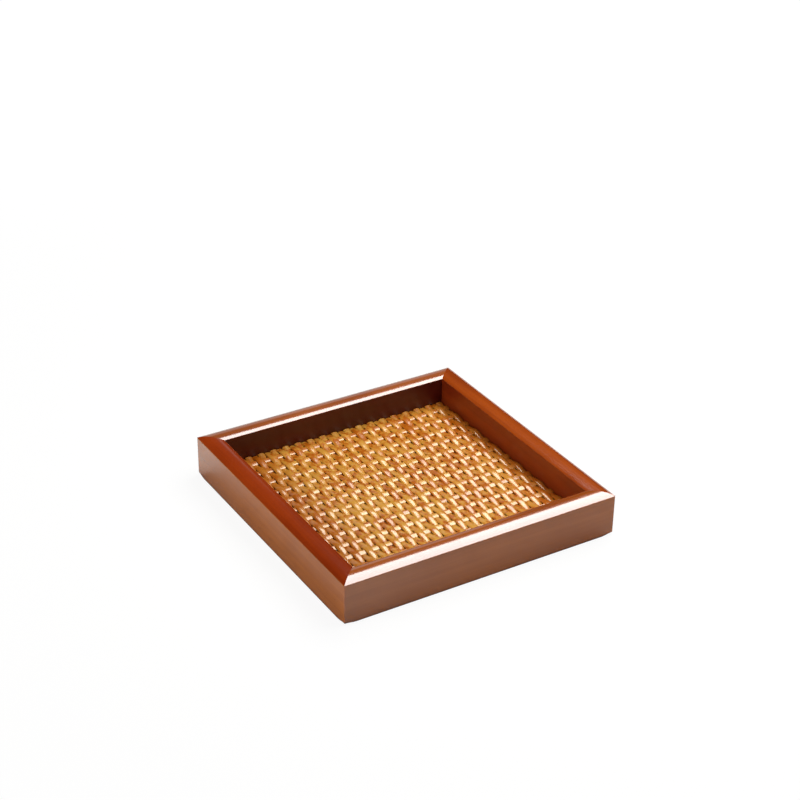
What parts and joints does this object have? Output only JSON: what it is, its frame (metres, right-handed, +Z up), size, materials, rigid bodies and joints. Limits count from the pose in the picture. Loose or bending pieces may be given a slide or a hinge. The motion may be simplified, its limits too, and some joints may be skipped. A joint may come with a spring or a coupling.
{
  "type": "wooden tea tray",
  "caption": "Square wooden tea tray: mitred lacquered rails with a domed top round a sunken floor of woven cane.",
  "frame": {"origin": "centre of the square footprint, on the surface that the rails stand on", "axes": "+Z up out of the tray; the canes of the mat run along Y and the cross rods along X; -Y is the front"},
  "size_m": [0.2, 0.2, 0.0307],
  "materials": {
    "lacquered_wood": "glossy red-brown lacquer over straight-grained wood",
    "woven_cane": "glossy varnished honey-coloured cane",
    "stained_plywood": "matt brown stain",
    "pale_hardwood": "bare planed hardwood"
  },
  "bodies": {
    "root": {"front_rail": "lacquered_wood", "right_rail": "lacquered_wood", "back_rail": "lacquered_wood", "left_rail": "lacquered_wood", "base_panel": "stained_plywood", "corner_spline_front_right": "pale_hardwood", "corner_spline_back_right": "pale_hardwood", "corner_spline_back_left": "pale_hardwood", "corner_spline_front_left": "pale_hardwood", "weft_rod_01": "woven_cane", "weft_rod_02": "woven_cane", "weft_rod_03": "woven_cane", "weft_rod_04": "woven_cane", "weft_rod_05": "woven_cane", "weft_rod_06": "woven_cane", "weft_rod_07": "woven_cane", "weft_rod_08": "woven_cane", "weft_rod_09": "woven_cane", "weft_rod_10": "woven_cane", "weft_rod_11": "woven_cane", "weft_rod_12": "woven_cane", "weft_rod_13": "woven_cane", "warp_cane_01": "woven_cane", "warp_cane_02": "woven_cane", "warp_cane_03": "woven_cane", "warp_cane_04": "woven_cane", "warp_cane_05": "woven_cane", "warp_cane_06": "woven_cane", "warp_cane_07": "woven_cane", "warp_cane_08": "woven_cane", "warp_cane_09": "woven_cane", "warp_cane_10": "woven_cane", "warp_cane_11": "woven_cane", "warp_cane_12": "woven_cane", "warp_cane_13": "woven_cane", "warp_cane_14": "woven_cane", "warp_cane_15": "woven_cane", "warp_cane_16": "woven_cane", "warp_cane_17": "woven_cane", "warp_cane_18": "woven_cane", "warp_cane_19": "woven_cane", "warp_cane_20": "woven_cane", "warp_cane_21": "woven_cane", "warp_cane_22": "woven_cane", "warp_cane_23": "woven_cane", "warp_cane_24": "woven_cane", "warp_cane_25": "woven_cane", "warp_cane_26": "woven_cane", "warp_cane_27": "woven_cane", "warp_cane_28": "woven_cane", "warp_cane_29": "woven_cane", "warp_cane_30": "woven_cane", "warp_cane_31": "woven_cane", "warp_cane_32": "woven_cane", "warp_cane_33": "woven_cane", "warp_cane_34": "woven_cane", "warp_cane_35": "woven_cane", "warp_cane_36": "woven_cane"}
  },
  "joints": []
}
